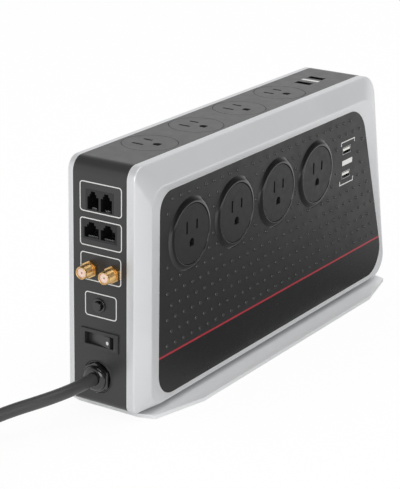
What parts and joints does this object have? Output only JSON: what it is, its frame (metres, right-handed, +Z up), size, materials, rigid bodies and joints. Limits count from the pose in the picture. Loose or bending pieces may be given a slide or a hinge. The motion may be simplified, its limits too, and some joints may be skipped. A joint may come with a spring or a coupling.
{
  "type": "surge protector",
  "caption": "Desk-standing surge protector: black casing between silver frames on a foot plate, grounded outlets and USB ports in front and on top, data, coax, reset and switch on one end",
  "frame": {"origin": "centre of the bounding box, without the free cord, its coil and plug, on the surface it stands on", "axes": "+X along the length, away from the end with the fittings; -Y is the front with the round outlets; +Z up"},
  "size_m": [0.6078, 0.1417, 0.185],
  "materials": {
    "black_case": "satin",
    "silver_paint": "satin",
    "panel_black": "fine raised grain",
    "piano_black": "gloss",
    "red_line": "gloss",
    "outlet_black": "satin",
    "brass_strip": "bright",
    "gold_plate": "bright",
    "steel_shell": "bright",
    "white_plastic": "satin",
    "rubber_black": "matt",
    "cord_jacket": "satin",
    "nylon_black": "satin",
    "circuit_green": "satin",
    "varistor_blue": "satin",
    "ferrite": "matt",
    "film_yellow": "satin",
    "zinc_steel": "bright zinc"
  },
  "bodies": {
    "casing": {"accent_line": "red_line", "body_shell": "black_case", "breaker_body": "nylon_black", "capacitors": "film_yellow", "coax_jack_1": "gold_plate", "coax_jack_2": "gold_plate", "coax_nuts": "gold_plate", "cord_coil": "cord_jacket", "filter_choke": "ferrite", "foot_pads": "rubber_black", "foot_riser": "nylon_black", "foot_screws": "zinc_steel", "front_frame": "silver_paint", "front_ground_bus": "brass_strip", "front_hot_bus": "brass_strip", "front_neutral_bus": "brass_strip", "front_panel": "panel_black", "gland_body": "nylon_black", "gland_cup": "nylon_black", "gland_locknut": "nylon_black", "gland_nut": "nylon_black", "jack_contacts": "gold_plate", "lower_band": "piano_black", "main_board": "circuit_green", "network_jacks": "nylon_black", "outlet_collar_1": "piano_black", "outlet_collar_2": "piano_black", "outlet_collar_3": "piano_black", "outlet_collar_4": "piano_black", "outlet_front_1": "outlet_black", "outlet_front_2": "outlet_black", "outlet_front_3": "outlet_black", "outlet_front_4": "outlet_black", "outlet_top_1": "outlet_black", "outlet_top_2": "outlet_black", "outlet_top_3": "outlet_black", "outlet_top_4": "outlet_black", "phone_jacks": "nylon_black", "plug_body": "cord_jacket", "plug_prongs": "brass_strip", "power_cord": "cord_jacket", "rear_cover": "silver_paint", "rear_screws": "zinc_steel", "reset_bushing": "nylon_black", "stand_foot": "silver_paint", "switch_base": "nylon_black", "switch_bezel": "nylon_black", "top_ground_bus": "brass_strip", "top_hot_bus": "brass_strip", "top_neutral_bus": "brass_strip", "usb_board_front": "circuit_green", "usb_board_top": "circuit_green", "usb_shells_front": "steel_shell", "usb_shells_top": "steel_shell", "usb_tongues_front": "white_plastic", "usb_tongues_top": "white_plastic", "varistors": "varistor_blue"},
    "rocker_key": {"rocker": "nylon_black"},
    "reset_key": {"reset_button": "nylon_black"}
  },
  "joints": [
    {"name": "rocker_pivot", "type": "hinge", "parent": "casing", "child": "rocker_key", "pos_m": [-0.1712, 0.0001, 0.0565], "axis": [0, 0, 1], "range_deg": [0, 24]},
    {"name": "reset_travel", "type": "slide", "parent": "casing", "child": "reset_key", "axis": [1, 0, 0], "range_m": [0, 0.002], "stiffness_N_per_m": 600}
  ]
}
